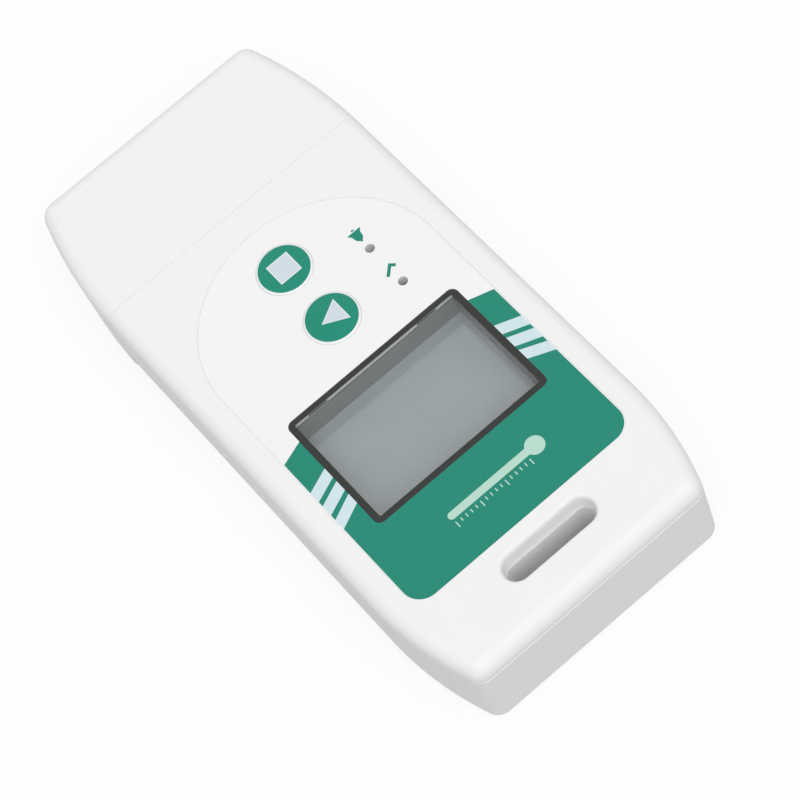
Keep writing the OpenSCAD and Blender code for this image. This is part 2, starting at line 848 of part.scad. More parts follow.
// Four flat contacts that step up onto the board
module usb_contacts() {
    y0 = plug_tip_y + tongue_back + contact_w;
    y1 = board_y0 - gap / 2;
    t = contact_strip_t;
    color(gold) for (x = contact_x) union() {
        block(contact_w, y1 - y0, contact_top, contact_top + t, x, (y0 + y1) / 2);
        block(contact_w, t, contact_top, board_top + t, x, y1 - t / 2);
        block(contact_w, contact_tail + t, board_top, board_top + t, x, y1 - t + (contact_tail + t) / 2);
    }
}

// Pan-head self-tapping screws driven in from the back
module cover_screws() {
    color(steel) at_screws() difference() {
        union() {
            round_bar(screw_head_r, head_sunk, head_z);
            round_bar(screw_r, head_z - gap, screw_top - screw_r, fn = 24);
            translate([0, 0, screw_top - screw_r - gap])
                cylinder(r1 = screw_r, r2 = screw_r / 3, h = screw_r, $fn = 24);
        }
        for (a = [0, 90]) rotate([0, 0, a])
            block(driver_w, driver_l, head_sunk - over, head_sunk + screw_head_h * driver_depth_share);
    }
}

front_cover();
rear_housing();
usb_cap();
graphic_overlay();
display_window();
window_tape();
display_holder();
display_glass();
front_polariser();
rear_polariser();
contact_strips();
start_button();
stop_button();
start_switch();
stop_switch();
ok_lamp();
alarm_lamp();
circuit_board();
microcontroller();
memory_chip();
timing_crystal();
temperature_sensor();
chip_parts();
coin_cell();
battery_clip();
battery_contact();
usb_shell();
usb_insulator();
usb_contacts();
cover_screws();
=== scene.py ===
import json
import math

import bmesh
import bpy
from mathutils import Matrix, Vector
from mathutils.geometry import delaunay_2d_cdt

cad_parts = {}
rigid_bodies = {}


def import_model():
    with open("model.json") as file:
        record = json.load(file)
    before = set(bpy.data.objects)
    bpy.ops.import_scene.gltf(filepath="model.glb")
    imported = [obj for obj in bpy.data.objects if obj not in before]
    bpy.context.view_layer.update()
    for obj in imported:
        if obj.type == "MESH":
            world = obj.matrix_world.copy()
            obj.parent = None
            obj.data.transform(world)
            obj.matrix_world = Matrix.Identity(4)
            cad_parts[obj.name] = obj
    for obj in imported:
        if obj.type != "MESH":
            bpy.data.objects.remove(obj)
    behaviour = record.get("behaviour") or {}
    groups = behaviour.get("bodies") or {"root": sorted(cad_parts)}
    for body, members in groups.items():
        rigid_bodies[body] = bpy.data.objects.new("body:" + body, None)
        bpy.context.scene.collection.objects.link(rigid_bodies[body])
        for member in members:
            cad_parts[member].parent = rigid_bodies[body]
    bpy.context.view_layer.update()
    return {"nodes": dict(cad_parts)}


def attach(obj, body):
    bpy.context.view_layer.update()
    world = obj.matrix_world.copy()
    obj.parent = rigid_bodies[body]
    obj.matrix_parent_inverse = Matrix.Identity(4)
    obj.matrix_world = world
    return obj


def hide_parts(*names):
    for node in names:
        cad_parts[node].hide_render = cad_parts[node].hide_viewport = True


for thing in list(bpy.context.scene.objects):
    bpy.data.objects.remove(thing)
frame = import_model()

# ---------------------------------------------------------------- Rear housing
# The back half of the case, one injection moulding in white ABS. Its sides draw in a little
# towards the back so that it leaves the mould. It carries the board, the neck that the cap
# slides over, the tube round the lanyard slot and the bosses of four screws.

# Millimetres. Meshes are made in millimetres and turned into metres when they are done.
MM = 0.001
case_l, case_w, case_h = 95.6, 42.8, 13.6
parting_z, draft, back_r = 11.1, 0.15, 0.6
corner_r = 2.3
cap_arc_r, cap_arc_l = 71.0, 21.6
slot_arc_r, slot_arc_l = 48.0, 17.8
seam_y, slot_y = -26.8, 39.65
wall, floor_t, plate_z = 1.6, 1.6, 11.8
slot_l, slot_w, slot_step, slot_wall = 14.0, 3.6, 0.25, 1.2
screw_places = [(14.5, slot_y), (-14.5, slot_y), (16.25, -20.9), (-16.25, -20.9)]


def add(tree, kind, inputs=None, **settings):
    """Adds a node, makes its settings, and fills its inputs with values or links."""
    made = tree.nodes.new(kind)
    for name, value in settings.items():
        setattr(made, name, value)
    for key, value in (inputs or {}).items():
        if isinstance(value, bpy.types.NodeSocket):
            tree.links.new(value, made.inputs[key])
        else:
            made.inputs[key].default_value = value
    return made


def placed(name, data):
    """A new object in the scene."""
    made = bpy.data.objects.new(name, data)
    bpy.context.scene.collection.objects.link(made)
    return made


def blank(name):
    """A material with an empty tree, and the object coordinates in that tree."""
    material = bpy.data.materials.new(name)
    material.use_nodes = True
    tree = material.node_tree
    tree.nodes.clear()
    return material, tree, add(tree, "ShaderNodeTexCoord").outputs["Object"]


def group(name, inputs, result):
    """A Geometry Nodes tree with named inputs, and the sockets that give them."""
    tree = bpy.data.node_groups.new(name, "GeometryNodeTree")
    for label, kind in inputs:
        tree.interface.new_socket(label, in_out="INPUT", socket_type="NodeSocket" + kind)
    tree.interface.new_socket(result, in_out="OUTPUT", socket_type="NodeSocketGeometry")
    return tree, add(tree, "NodeGroupInput").outputs


def linear(code):
    """An sRGB hex colour as the linear colour that Blender's sockets take."""
    parts = [int(code[i:i + 2], 16) / 255 for i in (1, 3, 5)]
    return [c / 12.92 if c <= 0.04045 else ((c + 0.055) / 1.055) ** 2.4 for c in parts] + [1.0]


def moulded(name, colour, deep, ior, roughness, grain, height, glow=0.0, gloss=0.5):
    """A moulded plastic: grain is the width in mm of the texture that the mould leaves."""
    material, tree, at = blank(name)
    fine = add(tree, "ShaderNodeTexNoise", {"Vector": at, "Scale": 1 / (grain * MM), "Detail": 2.0})
    flow = add(tree, "ShaderNodeTexNoise", {"Vector": at, "Scale": 1 / (14 * MM), "Detail": 3.0})
    tone = add(tree, "ShaderNodeMix", {0: flow.outputs[0], 6: linear(deep), 7: linear(colour)},
               data_type="RGBA")
    rough = add(tree, "ShaderNodeMapRange", {"Value": fine.outputs[0], "From Min": 0.3,
                                             "From Max": 0.7, "To Min": roughness - 0.05,
                                             "To Max": roughness + 0.05})
    bump = add(tree, "ShaderNodeBump", {"Height": fine.outputs[0], "Strength": 0.5,
                                        "Distance": height * MM})
    surface = add(tree, "ShaderNodeBsdfPrincipled",
                  {"Base Color": tone.outputs[2], "Roughness": rough.outputs[0], "IOR": ior,
                   "Normal": bump.outputs[0], "Subsurface Weight": glow,
                   "Subsurface Scale": 0.6 * MM, "Subsurface Radius": (1.0, 1.0, 0.9),
                   "Specular IOR Level": gloss})
    add(tree, "ShaderNodeOutputMaterial", {"Surface": surface.outputs[0]})
    return material


# White ABS from a spark-eroded mould: an even, soft white with a matt sheen. The real grain is
# about 0.05 mm and is drawn at 0.25 mm so that it shows.
white_abs = moulded("White ABS, spark-eroded mould", "#f1f1f1", "#efefef", 1.54, 0.55, 0.25, 0.004)


def arc(x, y, r, start, end, count):
    """Points on an arc, angles in degrees."""
    turn = [math.radians(start + (end - start) * i / count) for i in range(count + 1)]
    return [(x + r * math.cos(a), y + r * math.sin(a)) for a in turn]


def case_outline(setback=0.0):
    """The case seen from the front: two shallow side arcs and a small corner at each end."""
    half = []
    for r, length, way, back in ((cap_arc_r, cap_arc_l, -1, 0.0), (slot_arc_r, slot_arc_l, 1, setback)):
        x, y = case_w / 2 - r, way * (case_l / 2 - back - length)
        corner_y = way * (case_l / 2 - back - corner_r)
        corner_x = x + math.sqrt((r - corner_r) ** 2 - (corner_y - y) ** 2)
        turn = math.degrees(math.atan2(corner_y - y, corner_x - x))
        side = arc(x, y, r, 0, turn, 28) + arc(corner_x, corner_y, corner_r, turn, 90 * way, 16)[1:]
        half += side[::-1] if way < 0 else side
    return half + [(-x, y) for x, y in half[::-1]]


def outline_x(y):
    """Half width of the case on the cap's side arc."""
    return case_w / 2 - cap_arc_r + math.sqrt(cap_arc_r ** 2 - (y + case_l / 2 - cap_arc_l) ** 2)


def rounded(w, l, r, x=0.0, y=0.0, count=8):
    """Outline of a rounded rectangle."""
    w, l = w / 2 - r, l / 2 - r
    return (arc(x + w, y + l, r, 0, 90, count) + arc(x - w, y + l, r, 90, 180, count)
            + arc(x - w, y - l, r, 180, 270, count) + arc(x + w, y - l, r, 270, 360, count))


def pill(l, w, y, count=16):
    """Outline of the lanyard slot."""
    x = (l - w) / 2
    return arc(x, y, w / 2, -90, 90, count) + arc(-x, y, w / 2, 90, 270, count)


def at_height(points, z):
    return [(x, y, z) for x, y in points]


def prism(points, low, high):
    return [at_height(points, low), at_height(points, high)]


def box(x0, x1, y0, y1, z0, z1):
    return prism([(x0, y0), (x1, y0), (x1, y1), (x0, y1)], z0, z1)


def solid(name, *lofts):
    """An object of closed solids, each a list of rings with the same number of points."""
    form = bmesh.new()
    for rings in lofts:
        rows = [[form.verts.new(p) for p in ring] for ring in rings]
        for low, high in zip(rows, rows[1:]):
            for i in range(len(low)):
                j = (i + 1) % len(low)
                form.faces.new((low[i], low[j], high[j], high[i]))
        form.faces.new(rows[0][::-1])
        form.faces.new(rows[-1])
    bmesh.ops.recalc_face_normals(form, faces=form.faces)
    mesh = bpy.data.meshes.new(name)
    form.to_mesh(mesh)
    form.free()
    return placed(name, mesh)


def bake(made):
    """Turns what the modifiers give into a plain mesh and removes them."""
    view = bpy.context.evaluated_depsgraph_get()
    mesh = bpy.data.meshes.new_from_object(made.evaluated_get(view))
    made.modifiers.clear()
    made.data = mesh


def carve(made, operation, *lofts):
    """Joins solids to a piece, or cuts them out of it."""
    tool = solid("Tool", *lofts)
    step = made.modifiers.new(operation, "BOOLEAN")
    step.operation, step.object, step.solver, step.use_self = operation, tool, "EXACT", True
    bake(made)
    bpy.data.objects.remove(tool)


def grow(made, tree, **sizes):
    """Runs a node tree on a piece with named sizes and keeps the plain mesh."""
    run = made.modifiers.new(tree.name, "NODES")
    run.node_group = tree
    named = {s.name: s.identifier for s in tree.interface.items_tree if s.in_out == "INPUT"}
    for label, value in sizes.items():
        run[named[label.replace("_", " ")]] = value
    bake(made)


# The sides of every moulding follow one rule: an edge profile is swept along the case's outline.
# The profile is a line from the back to the front, with a fillet at each end.
moulded_side, size = group(
    "Moulded side", (("Outline", "Geometry"), ("Back", "Float"), ("Front", "Float"),
                     ("Back radius", "Float"), ("Front radius", "Float"), ("Draft", "Float"),
                     ("Facets", "Int"), ("Plastic", "Material")), "Side")
low, high, drawn = (
    add(moulded_side, "ShaderNodeMath", {0: size[label], 1: -1.0}, operation="MULTIPLY").outputs[0]
    for label in ("Back", "Front", "Draft"))
reach = -2.2
points = [add(moulded_side, "ShaderNodeCombineXYZ", {"X": x, "Y": y}).outputs[0]
          for x, y in ((reach, low), (drawn, low), (0.0, high), (reach, high))]
profile = add(moulded_side, "GeometryNodeCurvePrimitiveQuadrilateral",
              {f"Point {i + 1}": p for i, p in enumerate(points)}, mode="POINTS")
profile = add(moulded_side, "GeometryNodeSetSplineCyclic", {0: profile.outputs[0], "Cyclic": False})
at_back = add(moulded_side, "FunctionNodeCompare",
              {2: add(moulded_side, "GeometryNodeInputIndex").outputs[0], 3: 1},
              data_type="INT", operation="EQUAL")
radius = add(moulded_side, "GeometryNodeSwitch",
             {0: at_back.outputs[0], 1: size["Front radius"], 2: size["Back radius"]},
             input_type="FLOAT")
profile = add(moulded_side, "GeometryNodeFilletCurve",
              {"Curve": profile.outputs[0], "Radius": radius.outputs[0], "Count": size["Facets"],
               "Limit Radius": True}, mode="POLY")
rail = add(moulded_side, "GeometryNodeMeshToCurve", {0: size["Outline"]})
rail = add(moulded_side, "GeometryNodeSetCurveNormal", {0: rail.outputs[0]}, mode="Z_UP")
side = add(moulded_side, "GeometryNodeCurveToMesh",
           {"Curve": rail.outputs[0], "Profile Curve": profile.outputs[0]})
side = add(moulded_side, "GeometryNodeRealizeInstances", {0: side.outputs[0]})
side = add(moulded_side, "GeometryNodeSetMaterial", {0: side.outputs[0], "Material": size["Plastic"]})
add(moulded_side, "NodeGroupOutput", {0: side.outputs[0]})


def moulding(name, setback, **sizes):
    """A solid moulding: the swept side, closed by a flat back and a flat front."""
    outline = case_outline(setback)
    mesh = bpy.data.meshes.new(name)
    mesh.from_pydata(at_height(outline, 0),
                     [(i, (i + 1) % len(outline)) for i in range(len(outline))], [])
    made = placed(name, mesh)
    grow(made, moulded_side, Facets=14, Plastic=white_abs, **sizes)
    form = bmesh.new()
    form.from_mesh(made.data)
    bmesh.ops.remove_doubles(form, verts=form.verts, dist=1e-5)
    bmesh.ops.holes_fill(form, edges=[e for e in form.edges if e.is_boundary])
    bmesh.ops.recalc_face_normals(form, faces=form.faces)
    form.to_mesh(made.data)
    form.free()
    return made


def ease(made, width, chosen):
    """Rounds the sharp edges whose two ends are both chosen."""
    form = bmesh.new()
    form.from_mesh(made.data)
    edges = [e for e in form.edges if len(e.link_faces) == 2 and e.calc_face_angle(0) > 0.5
             and all(chosen(v.co) for v in e.verts)]
    bmesh.ops.bevel(form, geom=edges, offset=width, segments=3, profile=0.5, affect="EDGES",
                    clamp_overlap=True)
    form.to_mesh(made.data)
    form.free()


def finish(made, body, slot, material, *nodes):
    """Smooths a piece between its sharp edges, turns it into metres, gives it its material, attaches it to
    its body and hides the imported pieces that it replaces.
    """
    form = bmesh.new()
    form.from_mesh(made.data)
    bmesh.ops.remove_doubles(form, verts=form.verts, dist=1e-5)
    bmesh.ops.dissolve_degenerate(form, edges=form.edges, dist=1e-5)
    for e in form.edges:
        e.smooth = len(e.link_faces) == 2 and e.calc_face_angle(3) < math.radians(32)
    for f in form.faces:
        f.smooth = True
    bmesh.ops.transform(form, matrix=Matrix.Scale(MM, 4), verts=form.verts)
    form.to_mesh(made.data)
    form.free()
    even = made.modifiers.new("Even", "WEIGHTED_NORMAL")
    even.keep_sharp = True
    bake(made)
    if material:
        made.data.materials.clear()
        made.data.materials.append(material)
    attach(made, body)
    if nodes:
        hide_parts(*nodes)


neck_y, neck_z0, neck_z1 = seam_y - 4.0, 1.7, 11.9
neck_half = outline_x(neck_y) - 1.5 - 0.3
neck_wall, neck_split, ridge_z0, ridge_z1 = 1.4, 0.1, 4.25, 9.35
plug_z, plug_w, plug_h, plug_room = 6.1, 12.0, 4.5, 0.2
boss_r, boss_z, boss_foot = 3.1, 7.2, 0.8
post_x, post_w, post_l, post_y, board_z = 17.45, 1.6, 3.0, (27.45, -8.14), 5.6
head_r, head_z, screw_pass_r = 1.9, 1.7, 1.15
cavity_inset = wall + draft


def inset(points, d):
    """An outline drawn in by d along its normals."""
    made = []
    for i, (x, y) in enumerate(points):
        (x0, y0), (x1, y1) = points[i - 1], points[(i + 1) % len(points)]
        run = math.hypot(x1 - x0, y1 - y0)
        made.append((x - d * (y1 - y0) / run, y + d * (x1 - x0) / run))
    return made


def cavity(setback, low, high):
    """The room inside the case, up to the wall at the seam."""
    room = [(x, max(y, seam_y + wall)) for x, y in inset(case_outline(setback), cavity_inset)]
    kept = [p for i, p in enumerate(room) if p != room[i - 1]]
    return prism(kept, low, high)


def neck(low, high):
    """Half of the neck: a rounded section, swept towards the cap, with a softened end. The cover's
    half begins part of the way up the corners, so it keeps only what lies above the parting."""
    rings = []
    for y, ease_in in ((neck_y, 0.3), (neck_y + 0.09, 0.09), (neck_y + 0.3, 0.0),
                       (seam_y + wall / 2, 0.0)):
        x, top, bottom = neck_half - ease_in - 1, neck_z1 - ease_in - 1, neck_z0 + ease_in + 1
        start = math.degrees(math.asin(low - top)) if low > top else 0
        section = arc(x, top, 1, start, 90, 8) + arc(-x, top, 1, 90, 180 - start, 8)
        if low < bottom:
            section += arc(-x, bottom, 1, 180, 270, 8) + arc(x, bottom, 1, 270, 360, 8)
        rings.append([(x, y, min(z, high)) for x, z in section])
    return rings


def circle(r, x, y, count=48):
    return arc(x, y, r, 0, 360, count)[:-1]


# Two low ridges on the sides of the neck snap into the cap's grip.
ridges = [[(m * (neck_half + d), neck_y + 1.8 + t) for t, d in
           ((-0.6, -0.1), (-0.6, 0.02), (-0.42, 0.14), (-0.15, 0.2), (0.15, 0.2), (0.42, 0.14),
            (0.6, 0.02), (0.6, -0.1))] for m in (-1, 1)]
housing = moulding("rear_housing_shell", 0.0, Back=0.0, Front=parting_z, Back_radius=back_r,
                   Front_radius=0.12, Draft=draft)
carve(housing, "DIFFERENCE", box(-50, 50, -60, seam_y, -5, 20), cavity(0.0, floor_t, 20))
ease(housing, 0.06, lambda p: abs(p.y - seam_y) < 1e-3)
# Each half of the neck stops short of the parting, so that a line 0.2 mm wide lies between them.
carve(housing, "UNION", neck(neck_z0, parting_z - neck_split))
carve(housing, "UNION", *[prism(ridge, ridge_z0, ridge_z1) for ridge in ridges],
      prism(pill(slot_l + 2 * slot_wall, slot_w + 2 * slot_wall, slot_y), boss_foot, parting_z),
      *[prism(circle(boss_r, x, y), boss_foot, boss_z) for x, y in screw_places],
      *[box(x - post_w / 2, x + post_w / 2, y - post_l / 2, y + post_l / 2, boss_foot, board_z)
        for x in (-post_x, post_x) for y in post_y])
carve(housing, "DIFFERENCE",
      box(-neck_half + neck_wall, neck_half - neck_wall, neck_y + wall, seam_y + wall + 1,
          neck_z0 + neck_wall, 20),
      box(-plug_w / 2 - 0.3, plug_w / 2 + 0.3, neck_y - 1, neck_y + wall + 1,
          plug_z - plug_h / 2 - plug_room, 20),
      [at_height(pill(slot_l - 0.2 + 2 * f, slot_w - 2 * slot_step + 2 * f, slot_y), z)
       for z, f in ((-0.2, 0.55), (0.0, 0.35), (0.1, 0.17), (0.35, 0.0), (parting_z - 0.25, 0.0),
                    (parting_z - 0.154, 0.019), (parting_z - 0.073, 0.073), (parting_z - 0.019, 0.154),
                    (parting_z, 0.25), (20, 0.25))],
      *[prism(circle(head_r + 0.1, x, y), -1, head_z) for x, y in screw_places])
carve(housing, "DIFFERENCE", *[prism(circle(screw_pass_r, x, y, 24), 1.0, 20) for x, y in screw_places])
finish(housing, "case", "shell", white_abs, "rear_housing")

# ---------------------------------------------------------------- Circuit board
# A 1 mm board of FR4 glass epoxy under green solder mask. It lies on four posts of the housing,
# and the front cover's pillars hold it down. The parts stand on its front.
board_top = 6.6
microcontroller_place, microcontroller_w = (9.55, -8.45), 6.6


def dress(material, *nodes):
    """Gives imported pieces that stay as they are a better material."""
    for name in nodes:
        for slot in frame["nodes"][name].material_slots:
            slot.material = material


def surface(name, base, rough, **fixed):
    """A material whose colour and roughness follow patterns made by the two functions."""
    material, tree, at = blank(name)
    inputs = {"Base Color": base(tree, at), "Roughness": rough(tree, at)}
    inputs.update({key.replace("_", " "): value for key, value in fixed.items()})
    shader = add(tree, "ShaderNodeBsdfPrincipled", inputs)
    add(tree, "ShaderNodeOutputMaterial", {"Surface": shader.outputs[0]})
    return material


def blend(tree, amount, first, second):
    return add(tree, "ShaderNodeMix", {0: amount, 6: linear(first), 7: linear(second)},
               data_type="RGBA").outputs[2]


def noise(tree, at, width, low, high, detail=2.0):
    """A soft random pattern between two values, with lumps of a width in mm."""
    lumps = add(tree, "ShaderNodeTexNoise", {"Vector": at, "Scale": 1 / (width * MM), "Detail": detail})
    return add(tree, "ShaderNodeMapRange", {"Value": lumps.outputs[0], "From Min": 0.3, "From Max": 0.7,
                                            "To Min": low, "To Max": high}).outputs[0]


def tracks(tree, at):
    """Copper tracks 0.3 mm wide, which show through the mask as a lighter green."""
    lines = add(tree, "ShaderNodeTexVoronoi",
                {"Vector": at, "Scale": 1 / (2.4 * MM), "Randomness": 1.0},
                distance="MANHATTAN", feature="DISTANCE_TO_EDGE", voronoi_dimensions="3D")
    edge = add(tree, "ShaderNodeMath", {0: lines.outputs[0], 1: 0.07}, operation="LESS_THAN")
    return blend(tree, edge.outputs[0], "#14593a", "#2c8053")


# Solder mask is a thin, even green lacquer. Moulded epoxy is black and slightly rough from its
# filler. Tin and nickel are bright, soft greys, and ceramic is a matt tan.
solder_mask = surface("Green solder mask on FR4", tracks, lambda t, at: noise(t, at, 1.5, 0.28, 0.4),
                      IOR=1.5, Coat_Weight=0.3)
epoxy = moulded("Black epoxy, transfer moulded", "#29292b", "#1e1e20", 1.55, 0.5, 0.15, 0.004)
tin = surface("Tinned copper, reflowed",
              lambda t, at: blend(t, noise(t, at, 0.4, 0, 1), "#c9c7c0", "#b4b2ab"),
              lambda t, at: noise(t, at, 0.3, 0.25, 0.45), Metallic=1.0)
ceramic = surface("Fired ceramic, sintered",
                  lambda t, at: blend(t, noise(t, at, 0.5, 0, 1), "#b79b78", "#9d8362"),
                  lambda t, at: noise(t, at, 0.4, 0.55, 0.75), IOR=1.6)
crystal_can = surface("Nickel-plated steel can, drawn",
                      lambda t, at: blend(t, noise(t, at, 1.0, 0, 1), "#cfcdc8", "#bdbbb5"),
                      lambda t, at: noise(t, at, 0.6, 0.2, 0.35), Metallic=1.0)
dress(solder_mask, "circuit_board")
dress(epoxy, "memory_chip", "temperature_sensor")
dress(ceramic, "chip_parts")
dress(crystal_can, "timing_crystal", "start_switch", "stop_switch")

# The microcontroller is a square package with eight tinned legs on each side. One leg is made
# and set out along the four sides.
package_legs, size = group(
    "Legs of a package", (("Package", "Geometry"), ("Side", "Float"), ("Pitch", "Float"),
                          ("Legs", "Int"), ("Leg width", "Float"), ("Leg length", "Float"),
                          ("Metal", "Material")), "Result")


def maths(tree, how, a, b=0.0):
    return add(tree, "ShaderNodeMath", {0: a, 1: b}, operation=how).outputs[0]


def vector(tree, x=0.0, y=0.0, z=0.0):
    return add(tree, "ShaderNodeCombineXYZ", {"X": x, "Y": y, "Z": z}).outputs[0]


row_half = maths(package_legs, "MULTIPLY", maths(package_legs, "SUBTRACT", size["Legs"], 1.0),
                 maths(package_legs, "MULTIPLY", size["Pitch"], -0.5))
row = add(package_legs, "GeometryNodeMeshLine",
          {"Count": size["Legs"],
           "Start Location": vector(package_legs, row_half,
                                    maths(package_legs, "MULTIPLY", size["Side"], 0.5)),
           "Offset": vector(package_legs, size["Pitch"])}, mode="OFFSET")
foot = add(package_legs, "GeometryNodeMeshCube",
           {"Size": vector(package_legs, size["Leg width"], size["Leg length"], 0.12)})
shank = add(package_legs, "GeometryNodeMeshCube",
            {"Size": vector(package_legs, size["Leg width"], 0.14, 0.45)})
foot = add(package_legs, "GeometryNodeTransform",
           {0: foot.outputs[0], "Translation": (0.0, 0.0, 0.06)})
shank = add(package_legs, "GeometryNodeTransform",
            {0: shank.outputs[0],
             "Translation": vector(package_legs, 0.0,
                                   maths(package_legs, "MULTIPLY", size["Leg length"], -0.3), 0.3)})
leg = add(package_legs, "GeometryNodeJoinGeometry")
for part in (foot, shank):
    package_legs.links.new(part.outputs[0], leg.inputs[0])
row = add(package_legs, "GeometryNodeInstanceOnPoints",
          {"Points": row.outputs[0], "Instance": leg.outputs[0]})
corners = add(package_legs, "GeometryNodeMeshCircle", {"Vertices": 4, "Radius": 0.0001})
turn = maths(package_legs, "MULTIPLY", add(package_legs, "GeometryNodeInputIndex").outputs[0],
             math.pi / 2)
rows = add(package_legs, "GeometryNodeInstanceOnPoints",
           {"Points": corners.outputs[0], "Instance": row.outputs[0],
            "Rotation": add(package_legs, "FunctionNodeEulerToRotation",
                            {0: vector(package_legs, 0.0, 0.0, turn)}).outputs[0]})
rows = add(package_legs, "GeometryNodeRealizeInstances", {0: rows.outputs[0]})
rows = add(package_legs, "GeometryNodeSetMaterial", {0: rows.outputs[0], "Material": size["Metal"]})
both = add(package_legs, "GeometryNodeJoinGeometry")
for part in (size["Package"], rows.outputs[0]):
    package_legs.links.new(part, both.inputs[0])
add(package_legs, "NodeGroupOutput", {0: both.outputs[0]})


half = microcontroller_w / 2
package = [at_height(rounded(2 * (half - d), 2 * (half - d), 0.2, count=2), z)
           for z, d in ((0.1, 0.1), (0.55, 0.0), (0.6, 0.0), (1.1, 0.1))]
microcontroller = solid("microcontroller_package", package)
microcontroller.data.materials.append(epoxy)
grow(microcontroller, package_legs, Side=microcontroller_w, Pitch=0.7, Legs=8, Leg_width=0.35,
     Leg_length=0.9, Metal=tin)
microcontroller.data.transform(Matrix.Translation((*microcontroller_place, board_top)))
finish(microcontroller, "case", "chip", None, "microcontroller")

# The lamps are clear epoxy lenses on small white carriers: green by the first hole and red by
# the second. They are off, so only the tint shows.
for lamp, slot, lens, deep in (("ok_lamp", "lamp_green", "#8fc79a", "#7db588"),
                               ("alarm_lamp", "lamp_red", "#c98d84", "#b97b72")):
    dress(moulded(f"Tinted epoxy lens of {lamp}", lens, deep, 1.5, 0.25, 0.3, 0.002), lamp)

# ---------------------------------------------------------------- Battery
# A lithium coin cell lies behind the board. A sprung strap of nickel-plated steel soldered to
# the board holds it against a gold-plated disc.
brushed = surface("Stainless steel can, pressed",
                  lambda t, at: blend(t, noise(t, at, 3.0, 0, 1, 4.0), "#c6c8c9", "#b3b5b6"),
                  lambda t, at: noise(t, at, 0.8, 0.22, 0.36), Metallic=1.0)
spring = surface("Nickel-plated spring steel, stamped",
                 lambda t, at: blend(t, noise(t, at, 1.2, 0, 1), "#c9c6bd", "#b8b5ad"),
                 lambda t, at: noise(t, at, 0.7, 0.25, 0.42), Metallic=1.0)
gold_plate = surface("Gold flash on nickel, plated",
                     lambda t, at: blend(t, noise(t, at, 0.8, 0, 1), "#dcb765", "#cfa753"),
                     lambda t, at: noise(t, at, 0.5, 0.2, 0.33), Metallic=1.0)
dress(brushed, "coin_cell")
dress(spring, "battery_clip")
dress(gold_plate, "battery_contact", "usb_contacts")

# ---------------------------------------------------------------- USB plug
# A stamped shell of nickel-plated steel round a white nylon tongue with four gold contacts. Its
# ears are soldered to the end of the board, and it passes out through the end of the neck.
nickel = surface("Nickel-plated steel sheet, rolled",
                 lambda t, at: blend(t, noise(t, at, 2.5, 0, 1, 4.0), "#cfcdc8", "#bfbdb8"),
                 lambda t, at: noise(t, at, 1.0, 0.22, 0.34), Metallic=1.0)
nylon = moulded("White nylon, moulded", "#e9e9e5", "#e4e4df", 1.53, 0.4, 0.3, 0.003)
plug_tip, plug_back, sheet_t = -43.8, -25.0, 0.3


def plug_ring(y, shrink, r):
    section = rounded(plug_w - 2 * shrink, plug_h - 2 * shrink, r, y=plug_z, count=6)
    return [(x, y, z) for x, z in section]


plug = solid("usb_plug_shell", [plug_ring(plug_back, 0, 0.5), plug_ring(plug_tip + 0.12, 0, 0.5),
                                plug_ring(plug_tip, 0.1, 0.4)])
carve(plug, "DIFFERENCE",
      [plug_ring(plug_back + 1, sheet_t, 0.2), plug_ring(plug_tip + 0.35, sheet_t, 0.2),
       plug_ring(plug_tip - 0.1, sheet_t - 0.22, 0.4)],
      *[prism(rounded(2.2, 2.5, 0.2, x, plug_tip + 5.2 + 1.25, 4), -1, 20) for x in (-2.5, 2.5)])
ease(plug, 0.06, lambda p: plug_tip + 5.1 < p.y < plug_tip + 7.8 and abs(p.x) < 3.7)
carve(plug, "UNION", *[box(m * (plug_w / 2 - sheet_t / 2) - sheet_t / 2,
                           m * (plug_w / 2 - sheet_t / 2) + sheet_t / 2,
                           plug_back - 0.2, plug_back + 2.6, board_top, board_top + 1.4)
                       for m in (-1, 1)])
finish(plug, "case", "plug_steel", nickel, "usb_shell")
dress(nylon, "usb_insulator")

# ---------------------------------------------------------------- Display
# A liquid crystal cell: two sheets of glass between two polarisers, carried by a grey moulded
# holder with pins in the board. Rubber strips with fine carbon layers join it to the board.
display_y, display_z, holder_top, collar_top = 13.45, 9.488, 10.288, 12.5
opening_w, opening_l = 26.2, 17.8
wall_top, wall_foot, lip_edge, tab_x = 4.53, 5.05, 4.4, (-8.85, 9.3)
grey_abs = moulded("Grey ABS, spark-eroded mould", "#78797a", "#717273", 1.54, 0.5, 0.25, 0.004)
holder = solid("display_holder_frame",
               box(-16.8, 16.8, display_y - 12.5, display_y + 12.5, board_top, holder_top))
carve(holder, "UNION",
      prism(rounded(opening_w + 0.8, opening_l + 0.8, 0.15, y=display_y), 9.0, collar_top),
      *[prism(circle(0.8, x * 15.6, display_y + y * 11.3, 24), 4.9, 7.0)
        for x in (-1, 1) for y in (-1, 1)])
carve(holder, "DIFFERENCE", box(-15.6, 15.6, display_y - 11.4, display_y + 11.4, 5.6, display_z))
well_x, well_y = opening_w / 2, display_y + opening_l / 2
carve(holder, "DIFFERENCE",
      [at_height([(-well_x, y), (well_x, y), (well_x, well_y), (-well_x, well_y)], z)
       for z, y in ((display_z - 1, wall_foot), (display_z, wall_foot), (collar_top, wall_top),
                    (14, wall_top))])
# The collar's wall towards the cap leans out to the window, and two tabs on it reach past the lip.
carve(holder, "DIFFERENCE",
      *[box(x0, x1, 3, lip_edge + 0.03, holder_top + 0.2, 14)
        for x0, x1 in ((-15, tab_x[0] - 1.5), (tab_x[0] + 1.5, tab_x[1] - 1.5), (tab_x[1] + 1.5, 15))])
finish(holder, "case", "holder", grey_abs, "display_holder")

